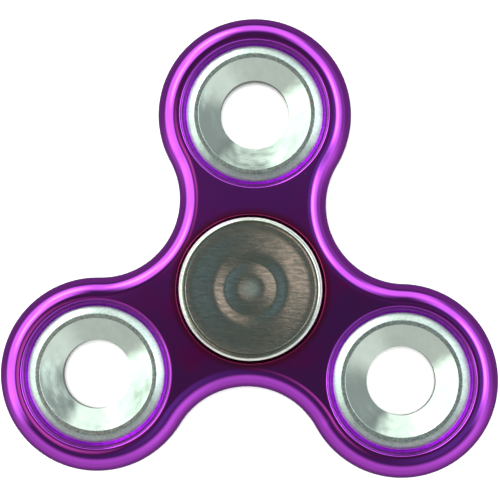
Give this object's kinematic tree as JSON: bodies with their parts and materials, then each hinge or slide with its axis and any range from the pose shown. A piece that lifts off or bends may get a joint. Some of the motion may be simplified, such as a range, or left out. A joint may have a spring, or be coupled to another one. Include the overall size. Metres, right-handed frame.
{
  "type": "fidget spinner",
  "caption": "Hand spinner: a plated frame with round arms and pressed-in ring weights, turning on a shielded ball bearing held between dished finger caps.",
  "frame": {"origin": "spin axis at the middle of the bearing's width, which is also the object's middle plane", "axes": "+Z along the spin axis towards the upper finger cap; +Y along the first arm; +X across the other two"},
  "size_m": [0.08, 0.0735, 0.0128],
  "materials": {
    "plated_plastic": "purple mirror plating over moulded ABS",
    "zinc_plated_steel": "turned steel, bright zinc plated",
    "bearing_steel": "ground bearing steel",
    "ball_steel": "polished steel balls",
    "cage_steel": "pressed steel strip, riveted",
    "shield_steel": "pressed steel sheet",
    "spring_wire": "hard spring wire",
    "plated_cap": "bright nickel plating over moulded plastic",
    "pressed_disc": "pressed steel sheet, bright nickel plated"
  },
  "bodies": {
    "hub": {"bearing_inner_ring": "bearing_steel", "cap_upper": "plated_cap", "cap_lower": "plated_cap", "cap_disc_upper": "pressed_disc", "cap_disc_lower": "pressed_disc"},
    "rotor": {"frame": "plated_plastic", "weight_1": "zinc_plated_steel", "weight_2": "zinc_plated_steel", "weight_3": "zinc_plated_steel", "bearing_outer_ring": "bearing_steel", "shield_upper": "shield_steel", "shield_lower": "shield_steel", "shield_clip_upper": "spring_wire", "shield_clip_lower": "spring_wire"},
    "cage": {"cage_half_upper": "cage_steel", "cage_half_lower": "cage_steel", "cage_rivets": "cage_steel"},
    "ball_1": {"bearing_ball_1": "ball_steel"},
    "ball_2": {"bearing_ball_2": "ball_steel"},
    "ball_3": {"bearing_ball_3": "ball_steel"},
    "ball_4": {"bearing_ball_4": "ball_steel"},
    "ball_5": {"bearing_ball_5": "ball_steel"},
    "ball_6": {"bearing_ball_6": "ball_steel"},
    "ball_7": {"bearing_ball_7": "ball_steel"}
  },
  "joints": [
    {"name": "frame_spin", "type": "hinge", "parent": "hub", "child": "rotor", "pos_m": [0, 0, 0], "axis": [0, 0, 1], "continuous": true},
    {"name": "cage_spin", "type": "hinge", "parent": "hub", "child": "cage", "pos_m": [0, 0, 0], "axis": [0, 0, 1], "continuous": true},
    {"name": "ball_1_roll", "type": "hinge", "parent": "cage", "child": "ball_1", "pos_m": [0.0075, 0, 0], "axis": [0, 0, 1], "continuous": true},
    {"name": "ball_2_roll", "type": "hinge", "parent": "cage", "child": "ball_2", "pos_m": [0.00468, 0.00586, 0], "axis": [0, 0, 1], "continuous": true},
    {"name": "ball_3_roll", "type": "hinge", "parent": "cage", "child": "ball_3", "pos_m": [-0.00167, 0.00731, 0], "axis": [0, 0, 1], "continuous": true},
    {"name": "ball_4_roll", "type": "hinge", "parent": "cage", "child": "ball_4", "pos_m": [-0.00676, 0.00325, 0], "axis": [0, 0, 1], "continuous": true},
    {"name": "ball_5_roll", "type": "hinge", "parent": "cage", "child": "ball_5", "pos_m": [-0.00676, -0.00325, 0], "axis": [0, 0, 1], "continuous": true},
    {"name": "ball_6_roll", "type": "hinge", "parent": "cage", "child": "ball_6", "pos_m": [-0.00167, -0.00731, 0], "axis": [0, 0, 1], "continuous": true},
    {"name": "ball_7_roll", "type": "hinge", "parent": "cage", "child": "ball_7", "pos_m": [0.00468, -0.00586, 0], "axis": [0, 0, 1], "continuous": true}
  ],
  "couplings": [
    {"joint": "cage_spin", "follows": "frame_spin", "ratio": 0.6323},
    {"joint": "ball_1_roll", "follows": "frame_spin", "ratio": 1.7573},
    {"joint": "ball_2_roll", "follows": "frame_spin", "ratio": 1.7573},
    {"joint": "ball_3_roll", "follows": "frame_spin", "ratio": 1.7573},
    {"joint": "ball_4_roll", "follows": "frame_spin", "ratio": 1.7573},
    {"joint": "ball_5_roll", "follows": "frame_spin", "ratio": 1.7573},
    {"joint": "ball_6_roll", "follows": "frame_spin", "ratio": 1.7573},
    {"joint": "ball_7_roll", "follows": "frame_spin", "ratio": 1.7573}
  ]
}
